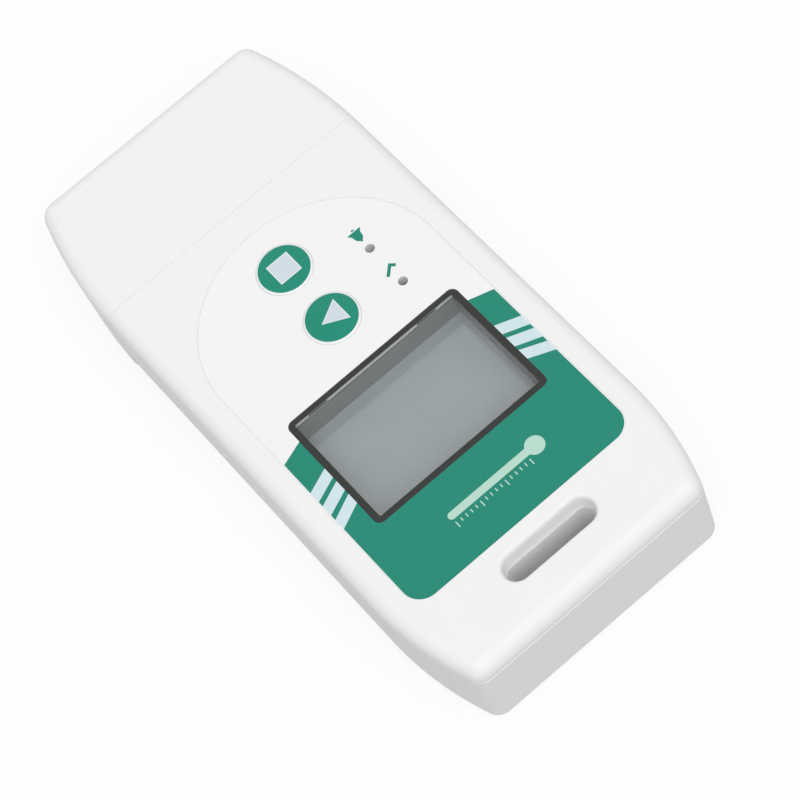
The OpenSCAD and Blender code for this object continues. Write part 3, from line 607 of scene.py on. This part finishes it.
# The front polariser is what shows: a matt film over the blank cell, an even blue-grey with the
# fine sparkle of its anti-glare coat.
front_film = surface("Liquid crystal cell under a matt polariser",
                     lambda t, at: blend(t, noise(t, at, 6.0, 0, 1, 3.0), "#99a0a5", "#959ca1"),
                     lambda t, at: noise(t, at, 0.2, 0.14, 0.2), IOR=1.5, Coat_Weight=1.0,
                     Coat_Roughness=0.12)
sheet_glass = surface("Soda-lime glass, float",
                      lambda t, at: blend(t, noise(t, at, 9.0, 0, 1), "#a7b0b2", "#a2abad"),
                      lambda t, at: noise(t, at, 5.0, 0.03, 0.07), IOR=1.52)
rear_film = surface("Reflective polariser, laminated",
                    lambda t, at: blend(t, noise(t, at, 4.0, 0, 1), "#8a9296", "#838b8f"),
                    lambda t, at: noise(t, at, 0.3, 0.3, 0.45), IOR=1.5)


def carbon_layers(tree, at):
    """Carbon and plain rubber by turns, 0.18 mm each, along the strip."""
    bands = add(tree, "ShaderNodeTexWave", {"Vector": at, "Scale": 2 * math.pi / (20 * 0.36 * MM)},
                bands_direction="X")
    return blend(tree, bands.outputs[1], "#1f1f21", "#48484b")


rubber = surface("Silicone rubber with carbon layers", carbon_layers,
                 lambda t, at: noise(t, at, 0.5, 0.6, 0.75), IOR=1.43)
dress(front_film, "front_polariser")
dress(rear_film, "rear_polariser")
dress(sheet_glass, "display_glass")
dress(rubber, "contact_strips")

# ---------------------------------------------------------------- Front cover
# The front half of the case, in the same white ABS. Its front edge is rounded, a shallow recess
# takes the printed film, and the window, the buttons, the lamps and the slot have their holes.
front_r, cover_setback = 2.4, 0.06
film_w, film_top_y, film_base_y, film_arch = 35.2, 35.55, -5.55, 16.6
recess_z, film_z, gap = 13.3, 13.55, 0.018
pane_w, pane_l, pane_r, pane_z, tape_z = 28.0, 19.6, 1.0, 12.75, 12.55
button_y, button_r = (-4.26, -14.64), 3.9
lamp_x, lamp_y, lamp_r = -9.93, (-1.73, -8.76), 0.68
pillar_r, screw_bore_r, screw_bore_z, clamp_y = 2.35, 1.0, 9.9, -12.14
sleeve_r, sleeve_z, gate_z = 1.6, 10.4, 8.5


def film_outline(grow_by=0.0):
    """The film: round corners at the slot end and half an ellipse at the buttons."""
    half, r = film_w / 2 + grow_by, 3.0 + grow_by
    bend = [(-half * math.cos(math.pi * i / 72),
             film_base_y - (film_arch + grow_by) * math.sin(math.pi * i / 72)) for i in range(73)]
    return (bend + arc(film_w / 2 - 3, film_top_y - 3, r, 0, 90, 12)
            + arc(3 - film_w / 2, film_top_y - 3, r, 90, 180, 12))


cover = moulding("front_cover_shell", cover_setback, Back=parting_z, Front=case_h, Back_radius=0.04,
                 Front_radius=front_r, Draft=0.0)
carve(cover, "DIFFERENCE", box(-50, 50, -60, seam_y, -5, 20),
      cavity(cover_setback, parting_z - 1, plate_z))
ease(cover, 0.06, lambda p: abs(p.y - seam_y) < 1e-3)
carve(cover, "UNION", neck(parting_z + neck_split, neck_z1))
carve(cover, "UNION",
      prism(pill(slot_l + 2 * slot_wall, slot_w + 2 * slot_wall, slot_y), parting_z, plate_z + 0.1),
      *[prism(circle(sleeve_r, lamp_x, y, 32), sleeve_z, plate_z + 0.1) for y in lamp_y],
      box(-plug_w / 2 - plug_room, plug_w / 2 + plug_room, neck_y + 0.1, neck_y + wall, gate_z,
          parting_z + 0.5),
      *[prism(circle(pillar_r, x, y), boss_z, plate_z + 0.1) for x, y in screw_places],
      *[box(x - post_w / 2, x + post_w / 2, clamp_y - post_l / 2, clamp_y + post_l / 2, board_top,
            plate_z + 0.1) for x in (-post_x, post_x)])
carve(cover, "DIFFERENCE", prism(film_outline(gap), recess_z, 20))
pane_hole = rounded(pane_w + 2 * gap, pane_l + 2 * gap, pane_r + gap, y=display_y)
carve(cover, "DIFFERENCE", prism(pane_hole, tape_z, 20))
carve(cover, "DIFFERENCE", box(-13.6, 13.6, lip_edge, display_y + 9.4, 5, 20),
      *[box(x - 1.55, x + 1.55, display_y - 9.4, lip_edge + 0.1, 4, 19) for x in tab_x],
      *[prism(circle(button_r + gap, 0, y, 72), 5, 20) for y in button_y],
      *[prism(circle(lamp_r + 0.1, lamp_x, y, 32), 5, 20) for y in lamp_y],
      *[prism(circle(screw_bore_r, x, y, 24), 5, screw_bore_z) for x, y in screw_places],
      [at_height(pill(slot_l + 2 * g, slot_w + 2 * f, slot_y), z) for z, f, g in
       ((5, -0.22, -0.08), (parting_z, -0.22, -0.08), (parting_z + 0.08, -0.17, -0.06),
        (parting_z + 0.25, -0.1, -0.02), (parting_z + 0.55, -0.03, 0.0), (parting_z + 1.0, 0.04, 0.02),
        (case_h - 0.8, 0.1, 0.05), (case_h - 0.5, 0.15, 0.1), (case_h - 0.3, 0.22, 0.18),
        (case_h - 0.14, 0.33, 0.32), (case_h - 0.04, 0.47, 0.48), (case_h, 0.65, 0.68),
        (case_h + 1, 3.0, 3.0))])
finish(cover, "case", "shell", white_abs, "front_cover")

# ---------------------------------------------------------------- Buttons
# Two round buttons moulded in ABS. A flange under the front cover keeps each one in its hole and
# a short stem meets its switch. The domed top is pad printed: a green disc with a pale sign.
button_rise, dome_top = 0.4, 13.55
print_r, flange_r = 3.585, 4.7


def inside(x, y, loop):
    """Whether a point lies inside an outline."""
    hit = False
    for i, (x1, y1) in enumerate(loop):
        x0, y0 = loop[i - 1]
        if (y0 > y) != (y1 > y) and x < (x1 - x0) * (y - y0) / (y1 - y0) + x0:
            hit = not hit
    return hit


def printed_face(outline, holes, prints, margin):
    """Flat triangles of an outline less its holes. Each print is an outline with the number of its
    ink, and none lies outside the margin."""
    loops = [outline, margin, *holes, *[loop for loop, ink in prints]]
    corners, edges = [], []
    for loop in loops:
        first = len(corners)
        corners += [Vector(p) for p in loop]
        edges += [(first + i, first + (i + 1) % len(loop)) for i in range(len(loop))]
    points, _, triangles, *_ = delaunay_2d_cdt(corners, edges, [], 0, 1e-5)
    kept = []
    for t in triangles:
        x, y = (sum(points[i][k] for i in t) / 3 for k in (0, 1))
        if inside(x, y, outline) and not any(inside(x, y, loop) for loop in holes):
            inks = [ink for loop, ink in prints if inside(x, y, loop) and inside(x, y, margin)]
            kept.append((t, inks[-1] if inks else 0))
    return points, kept


def sheet(name, outline, holes, prints, margin, inks, top, below):
    """A thin piece: its top is a printed face at top(x, y), and below lists the rings under its edge
    as shares of the outline with their heights. The last ring is closed."""
    points, kept = printed_face(outline, holes, prints, margin)
    form = bmesh.new()
    rows = [[form.verts.new((x, y, top(x, y))) for x, y in points]]
    for t, ink in kept:
        form.faces.new([rows[0][i] for i in t]).material_index = ink
    flat = len(below) == 1 and below[0][0] == 1
    form.verts.index_update()
    form.verts.ensure_lookup_table()
    rim = [(l.vert.index, l.link_loop_next.vert.index)
           for e in form.edges if e.is_boundary for l in e.link_loops]
    row = {i: form.verts[i] for pair in rim for i in pair}
    for share, z in below:
        under = {i: form.verts.new((points[i][0] * share, points[i][1] * share, z)) for i in row}
        for a, b in rim:
            form.faces.new((row[b], row[a], under[a], under[b]))
        row = under
    if flat:
        floor = {i: row[i] if i in row else form.verts.new((*points[i], below[0][1]))
                 for t, ink in kept for i in t}
        for t, ink in kept:
            form.faces.new([floor[i] for i in reversed(t)])
    else:
        follow = dict(rim)
        loop = [rim[0][0]]
        while follow[loop[-1]] != loop[0]:
            loop.append(follow[loop[-1]])
        form.faces.new([row[i] for i in reversed(loop)])
    loose = [v for v in form.verts if not v.link_faces]
    bmesh.ops.delete(form, geom=loose, context="VERTS")
    mesh = bpy.data.meshes.new(name)
    form.to_mesh(mesh)
    form.free()
    for ink in inks:
        mesh.materials.append(ink)
    return placed(name, mesh)


# Pad-printed ink over smooth white ABS under a clear coat: deep green and a pale ice blue.
button_white = moulded("White ABS, polished mould", "#eff1f2", "#ecefef", 1.5, 0.22, 0.5, 0.001)
button_green, button_ice = (
    moulded(name + " pad print under clear coat", colour, deep, 1.5, 0.2, 0.5, 0.001, gloss=0.35)
    for name, colour, deep in (("Green", "#068c74", "#048871"), ("Ice blue", "#d1dce6", "#ced9e3")))
triangle = [(-1.75, 1.92), (-1.75, -1.94), (1.64, 0.02)]
square = [(-1.75, 1.77), (-1.75, -1.77), (1.7, -1.77), (1.7, 1.77)]
rings = [circle(r, 0, 0, 72) for r in (3.84, 3.7, 3.4, 3.0, 2.5)]
for name, y, sign in (("start_button", button_y[0], triangle), ("stop_button", button_y[1], square)):
    prints = ([(rings[0], 0), (rings[1], 0), (circle(print_r, 0, 0, 72), 1)]
              + [(r, 1) for r in rings[2:]] + [(sign, 0), (inset(sign, 0.18), 2)])
    button = sheet(name + "_key", circle(button_r, 0, 0, 72), [], prints,
                   rings[0], (button_white, button_green, button_ice),
                   lambda x, y: dome_top + button_rise * math.sqrt(
                       max(0.0, 1 - (math.hypot(x, y) / button_r) ** 4)),
                   [(1.0, 11.7), (flange_r / button_r, 11.7), (flange_r / button_r, 11.2),
                    (1.5 / button_r, 11.2), (1.5 / button_r, 10.55)])
    button.data.transform(Matrix.Translation((0, y, 0)))
    finish(button, name.replace("button", "key"), "button", None, name)

# ---------------------------------------------------------------- Printed film
# A polyester film 0.25 mm thick, screen printed from behind and stuck into the recess. White
# round the buttons, green round the display, with three slanted ice-blue stripes on each side.
film_white, film_green, film_ice, film_mint = (
    moulded(name + " screen print behind gloss polyester", colour, deep, 1.5, 0.2, 0.6, 0.001, gloss=0.35)
    for name, colour, deep in (("White", "#f3f3f4", "#f1f1f2"), ("Green", "#0d8873", "#0b856f"),
                               ("Ice blue", "#d1e5ea", "#cee2e7"), ("Mint", "#b9dccd", "#b4d8c9")))
edge_x, pane_x = film_w / 2 + 1, pane_w / 2 - 0.2


def mirrored(loop):
    return [(-x, y) for x, y in reversed(loop)]


def slanted(outer, inner, thick):
    """A stripe from the film's side to the window, given at 17.4 mm and 14.05 mm from the middle."""
    fall = (outer - inner) / (17.4 - 14.05)
    y = lambda x: inner + (x - 14.05) * fall
    return [(pane_x, y(pane_x) - thick), (edge_x, y(edge_x) - thick), (edge_x, y(edge_x)),
            (pane_x, y(pane_x))]


green_field = [(-edge_x, 8.31), (-pane_x, 6.63), (pane_x, 6.63), (edge_x, 8.31), (edge_x, 60),
               (-edge_x, 60)]
stripes = [slanted(outer, inner, 1.75) for outer, inner in ((20.4, 18.8), (17.75, 16.3), (15.2, 13.8))]
# Signs in place of words: a thermometer over the display, a tick by the first lamp and a bell by
# the second.
tube = (arc(6.6, 28.75, 0.55, -90, 90, 10) + [(-5.66, 29.3)] + arc(-6.9, 28.75, 1.35, 24, 336, 30)
        + [(-5.66, 28.2)])
tick = [(-10.95, -4.45), (-10.62, -4.12), (-10.2, -4.54), (-9.1, -3.44), (-8.77, -3.77), (-10.2, -5.2)]
bell = [(lamp_x + m * x, -12.3 + y) for m, side in ((-1, 1), (1, -1)) for x, y in
        ((1.0, 0.0), (1.02, 0.16), (0.78, 0.4), (0.66, 0.72), (0.62, 1.15), (0.5, 1.5),
         (0.24, 1.72))[::side]]
clapper = arc(lamp_x, -12.44, 0.26, 180, 360, 10)
crown = circle(0.2, lamp_x, -10.5, 16)
film = sheet("printed_film", film_outline(),
             [pane_hole,
              *[circle(button_r + gap, 0, y, 72) for y in button_y],
              *[circle(lamp_r, lamp_x, y, 32) for y in lamp_y]],
             [(green_field, 1), *[(s, 2) for s in stripes], *[(mirrored(s), 2) for s in stripes],
              (tube, 3), (tick, 1), (bell, 1), (clapper, 1), (crown, 1)],
             film_outline(-0.14), (film_white, film_green, film_ice, film_mint),
             lambda x, y: film_z, [(1.0, recess_z)])
finish(film, "case", "film", None, "graphic_overlay")

# The thermometer's scale is a row of printed lines at an even pitch, with every fifth one longer.
printed_scale, size = group(
    "Printed scale", (("Ink", "Geometry"), ("Lines", "Int"), ("Pitch", "Float"),
                      ("Line width", "Float"), ("Short", "Float"), ("Long", "Float"),
                      ("Every", "Int"), ("Print", "Material")), "Scale")
row = add(printed_scale, "GeometryNodeMeshLine",
          {"Count": size["Lines"], "Offset": vector(printed_scale, size["Pitch"])}, mode="OFFSET")
nth = maths(printed_scale, "MODULO", add(printed_scale, "GeometryNodeInputIndex").outputs[0],
            size["Every"])
tall = add(printed_scale, "GeometryNodeSwitch",
           {0: maths(printed_scale, "LESS_THAN", nth, 0.5), 1: size["Short"], 2: size["Long"]},
           input_type="FLOAT")
line = add(printed_scale, "GeometryNodeMeshCube", {"Size": (1, 1, 1)})
line = add(printed_scale, "GeometryNodeTransform", {0: line.outputs[0], "Translation": (0, 0.5, 0.5)})
lines = add(printed_scale, "GeometryNodeInstanceOnPoints",
            {"Points": row.outputs[0], "Instance": line.outputs[0],
             "Scale": vector(printed_scale, size["Line width"], tall.outputs[0], 0.012)})
lines = add(printed_scale, "GeometryNodeRealizeInstances", {0: lines.outputs[0]})
lines = add(printed_scale, "GeometryNodeSetMaterial", {0: lines.outputs[0], "Material": size["Print"]})
add(printed_scale, "NodeGroupOutput", {0: lines.outputs[0]})
scale = placed("printed_scale", bpy.data.meshes.new("printed_scale"))
grow(scale, printed_scale, Lines=16, Pitch=0.8, Line_width=0.16, Short=0.55, Long=0.95, Every=5,
     Print=film_mint)
scale.data.transform(Matrix.Translation((-5.2, 29.75, film_z)))
finish(scale, "case", "film", None)

# ---------------------------------------------------------------- Window
# A pane of clear acrylic 0.8 mm thick. Its border is printed black, and a frame of black
# adhesive foam holds it on its ledge in the front cover.
pane_ink = moulded("Black screen print behind acrylic", "#222323", "#1e1f1f", 1.49, 0.08, 0.8, 0.0005)
foam = moulded("Black acrylic foam tape, die cut", "#232324", "#1b1b1c", 1.45, 0.75, 0.2, 0.01)
clear, tree, at = blank("Clear acrylic, cast and polished")
polish = noise(tree, at, 5.0, 0.01, 0.03)
acrylic = add(tree, "ShaderNodeBsdfPrincipled",
              {"Base Color": linear("#fbfdfd"), "Roughness": polish, "IOR": 1.49,
               "Transmission Weight": 1.0})
# Light for what lies behind the pane goes straight through it.
through = add(tree, "ShaderNodeBsdfTransparent", {"Color": linear("#f4f6f6")})
path = add(tree, "ShaderNodeLightPath").outputs
lit = add(tree, "ShaderNodeMixShader",
          {0: maths(tree, "MAXIMUM", path["Is Shadow Ray"], path["Is Diffuse Ray"]),
           1: acrylic.outputs[0], 2: through.outputs[0]})
add(tree, "ShaderNodeOutputMaterial", {"Surface": lit.outputs[0]})


def pane_ring(z, d, w=pane_w, l=pane_l, r=pane_r):
    return at_height(rounded(w - 2 * d, l - 2 * d, r - d, y=display_y), z)


def clear_ring(z):
    """The unprinted part of the pane, which reaches 0.1 mm further towards the cap."""
    return at_height(rounded(26.15, 17.87, 0.15, y=display_y - 0.02), z)


pane = solid("window_pane", [pane_ring(pane_z, 0.04), pane_ring(pane_z + 0.04, 0),
                             pane_ring(film_z - 0.12, 0), pane_ring(film_z - 0.04, 0.03),
                             pane_ring(film_z, 0.12), clear_ring(film_z)])
pane.data.materials.append(pane_ink)
pane.data.materials.append(clear)
for f in pane.data.polygons:
    f.material_index = int(len(f.vertices) > 4)
finish(pane, "case", "window", None, "display_window")

tape = solid("window_tape_frame", prism(rounded(pane_w, pane_l, pane_r, y=display_y), tape_z, pane_z))
carve(tape, "DIFFERENCE", box(-well_x - 0.3, well_x + 0.3, 4.05, well_y + 0.2, 10, 15))
finish(tape, "case", "black_frame", foam, "window_tape")

# ---------------------------------------------------------------- Screws
# Four pan-head self-tapping screws of zinc-plated steel with a cross recess, driven in from the
# back. One screw is made and set out at its four places, each turned by chance.
zinc = surface("Zinc-plated steel, cold headed",
               lambda t, at: blend(t, noise(t, at, 0.8, 0, 1, 3.0), "#c3c6ca", "#aeb1b6"),
               lambda t, at: noise(t, at, 0.4, 0.25, 0.42), Metallic=1.0)
screw_set, size = group(
    "Set of screws", (("Places", "Geometry"), ("Screw", "Object"), ("Seed", "Int"),
                      ("Metal", "Material")), "Screws")
one = add(screw_set, "GeometryNodeObjectInfo", {"Object": size["Screw"]})
turn = add(screw_set, "FunctionNodeRandomValue", {2: 0.0, 3: math.pi, "Seed": size["Seed"]},
           data_type="FLOAT")
turn = add(screw_set, "FunctionNodeEulerToRotation", {0: vector(screw_set, 0.0, 0.0, turn.outputs[1])})
four = add(screw_set, "GeometryNodeInstanceOnPoints",
           {"Points": size["Places"], "Instance": one.outputs["Geometry"], "Rotation": turn.outputs[0]})
four = add(screw_set, "GeometryNodeRealizeInstances", {0: four.outputs[0]})
four = add(screw_set, "GeometryNodeSetMaterial", {0: four.outputs[0], "Material": size["Metal"]})
add(screw_set, "NodeGroupOutput", {0: four.outputs[0]})
screw = solid("Screw", [at_height(circle(r, 0, 0, 40), z) for r, z in
                        ((1.25, 0.4), (1.55, 0.46), (1.78, 0.62), (1.9, 0.9), (1.9, 1.6), (1.8, 1.7),
                         (0.95, 1.7), (0.95, 8.85), (0.32, 9.75))])
carve(screw, "DIFFERENCE",
      *[[[(x * c - y * d, x * d + y * c, z) for x, y in ((-w, -t), (w, -t), (w, t), (-w, t))]
         for z, w, t in ((0.2, 1.2, 0.24), (1.0, 0.75, 0.18), (1.2, 0.3, 0.1))]
        for c, d in ((1, 0), (0, 1))])
places = bpy.data.meshes.new("cover_screw_set")
places.from_pydata([(x, y, 0) for x, y in screw_places], [], [])
screws = placed("cover_screw_set", places)
grow(screws, screw_set, Screw=screw, Seed=7, Metal=zinc)
bpy.data.objects.remove(screw)
finish(screws, "case", "screw_steel", None, "cover_screws")

# ---------------------------------------------------------------- USB cap
# A hollow cap in the same white ABS, which pulls straight off. Its outline and its rounded edges
# carry on those of the case, and two pairs of ribs inside guide the plug.
cap_wall, cap_skin, cap_open = 1.5, 1.4, seam_y - 0.03
cap = moulding("usb_cap_shell", 0.0, Back=0.0, Front=case_h, Back_radius=back_r,
               Front_radius=front_r, Draft=0.0)
room = [(x, max(y, cap_wall - case_l / 2)) for x, y in inset(case_outline(), cap_wall)]
carve(cap, "DIFFERENCE", box(-50, 50, cap_open, 60, -5, 20),
      prism([p for i, p in enumerate(room) if p != room[i - 1]], cap_skin, case_h - cap_skin))
ease(cap, 0.06, lambda p: abs(p.y - cap_open) < 1e-3)
rib_y0, rib_y1 = cap_wall - case_l / 2 - 0.1, neck_y - 0.3
carve(cap, "UNION",
      *[box(x - 0.6, x + 0.6, rib_y0, rib_y1, z0, z1) for x in (-4, 4)
        for z0, z1 in ((cap_skin - 0.1, plug_z - plug_h / 2 - 0.3),
                       (plug_z + plug_h / 2 + 0.3, case_h - cap_skin + 0.1))])
finish(cap, "cap", "shell", white_abs, "usb_cap")

# ---------------------------------------------------------------- Studio
# A white table, a big soft light above the slot end and an even white room, seen from the
# photograph's place. The table lies 0.03 mm under the back, so that the two faces don't coincide.
table_reach, table_z = 6, -0.03 * MM


def seen_directly(tree):
    """1 for what the camera sees, also in metal and through glass, and 0 for the light around."""
    path = add(tree, "ShaderNodeLightPath").outputs
    return maths(tree, "MAXIMUM", path["Is Camera Ray"],
                 maths(tree, "MAXIMUM", path["Is Glossy Ray"], path["Is Transmission Ray"]))


floor_mesh = bpy.data.meshes.new("floor")
corners = ((-1, -1), (1, -1), (1, 1), (-1, 1))
floor_mesh.from_pydata([(x * table_reach, y * table_reach, table_z) for x, y in corners], [], [(0, 1, 2, 3)])
floor = placed("floor", floor_mesh)
paper, tree, at = blank("White paper sweep")
seen = seen_directly(tree)
pale = blend(tree, noise(tree, at, 40, 0, 1), "#a2a2a2", "#9e9e9e")
pale = add(tree, "ShaderNodeMix", {0: seen, 6: pale, 7: linear("#fcfcfc")}, data_type="RGBA").outputs[2]
matt = add(tree, "ShaderNodeBsdfDiffuse", {"Color": pale})
shine = add(tree, "ShaderNodeEmission", {"Color": linear("#ffffff"), "Strength": 1.0})
seen = maths(tree, "MULTIPLY", seen, 0.8)
lit = add(tree, "ShaderNodeMixShader", {0: seen, 1: matt.outputs[0], 2: shine.outputs[0]})
add(tree, "ShaderNodeOutputMaterial", {"Surface": lit.outputs[0]})
floor_mesh.materials.append(paper)

world = bpy.data.worlds.new("White room")
bpy.context.scene.world = world
world.use_nodes = True
tree = world.node_tree
tree.nodes.clear()
seen = seen_directly(tree)
room_light = add(tree, "ShaderNodeBackground", {"Color": (1, 1, 1, 1), "Strength": 0.75})
backdrop = add(tree, "ShaderNodeBackground", {"Color": (1, 1, 1, 1), "Strength": 1.0})
lit = add(tree, "ShaderNodeMixShader", {0: seen, 1: room_light.outputs[0], 2: backdrop.outputs[0]})
add(tree, "ShaderNodeOutputWorld", {"Surface": lit.outputs[0]})

# A square softbox 2.2 m wide, which faces the object.
place = Vector((0.2, 1.3, 2.2))
lamp = bpy.data.lights.new("Softbox", "AREA")
lamp.shape, lamp.size, lamp.energy = "SQUARE", 2.2, 24.5
softbox = placed("Softbox", lamp)
facing = (-place).to_track_quat("-Z", "Y").to_matrix().to_4x4()
softbox.matrix_world = Matrix.Translation(place) @ facing

# The photograph's view: its right, down and forward directions and the place of the lens.
camera = placed("Camera", bpy.data.cameras.new("Camera"))
right = (-0.7583, 0.6076, -0.2362)
down = (0.6386, 0.6198, -0.4560)
ahead = (-0.1306, -0.4967, -0.8580)
turned = Matrix((right, [-v for v in down], [-v for v in ahead])).transposed()
camera.matrix_world = Matrix.Translation(Vector((51.2, 201.75, 342.2)) * MM) @ turned.to_4x4()
camera.data.sensor_width, camera.data.lens = 36.0, 3049.1 / 800 * 36.0
camera.data.clip_start, camera.data.clip_end = 0.01, 20.0
bpy.context.scene.camera = camera
bpy.context.scene.view_settings.view_transform = "Standard"
